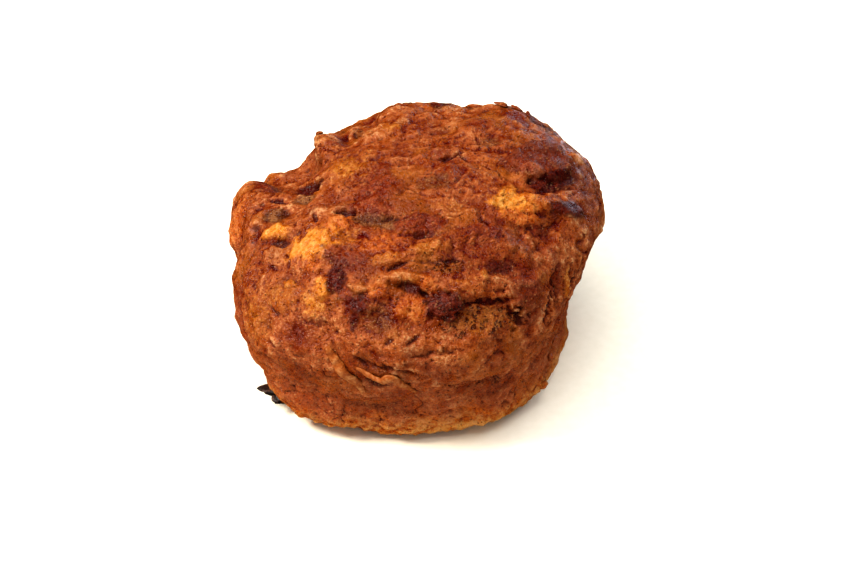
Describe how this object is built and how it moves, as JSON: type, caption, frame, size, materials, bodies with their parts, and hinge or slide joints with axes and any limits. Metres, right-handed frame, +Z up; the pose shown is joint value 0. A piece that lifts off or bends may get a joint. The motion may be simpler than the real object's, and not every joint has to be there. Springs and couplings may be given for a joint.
{
  "type": "muffin",
  "caption": "Round fruit and carrot muffin baked in a plain cup, with a flat foot, a sloping wall and a lopsided lumpy crown.",
  "frame": {"origin": "centre of the flat underside, on the surface that the muffin rests on", "axes": "+Z up through the crown, -Y towards the front, +X towards the higher right shoulder"},
  "size_m": [0.0749, 0.0752, 0.0457],
  "materials": {
    "crust": "baked reddish-brown crust, slightly glossy"
  },
  "bodies": {
    "root": {"muffin": "crust"}
  },
  "joints": []
}
